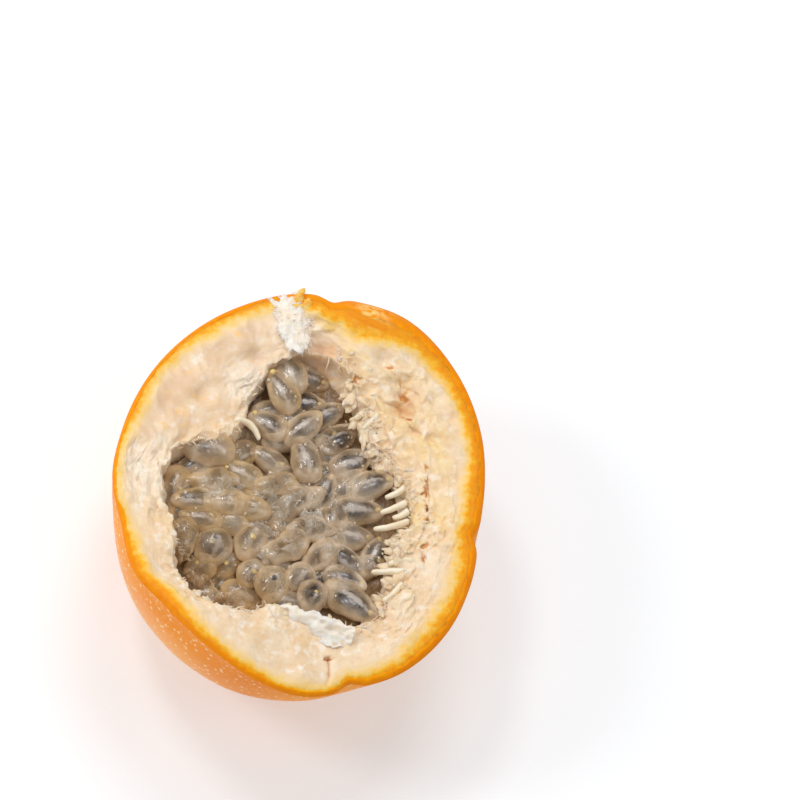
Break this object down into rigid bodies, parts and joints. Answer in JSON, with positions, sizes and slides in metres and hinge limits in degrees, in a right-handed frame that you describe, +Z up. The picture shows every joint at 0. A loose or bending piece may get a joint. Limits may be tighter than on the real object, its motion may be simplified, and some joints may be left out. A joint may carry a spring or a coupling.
{
  "type": "passion fruit half",
  "caption": "Half of a sweet granadilla passion fruit, cut across: orange speckled rind, torn white pith and a hollow of grey seeds in clear jelly.",
  "frame": {"origin": "centre of the small flat spot the half rests on, under the middle of the cut", "axes": "+Z up, normal to the cut face; +Y the longer way across the cut; +X to the right of it"},
  "size_m": [0.0648, 0.0725, 0.0385],
  "materials": {
    "rind": "hard satin skin, orange with pale specks, over matt cream pith",
    "pulp": "wet clear jelly with dark grey seeds"
  },
  "bodies": {
    "root": {"rind": "rind", "pulp": "pulp"}
  },
  "joints": []
}
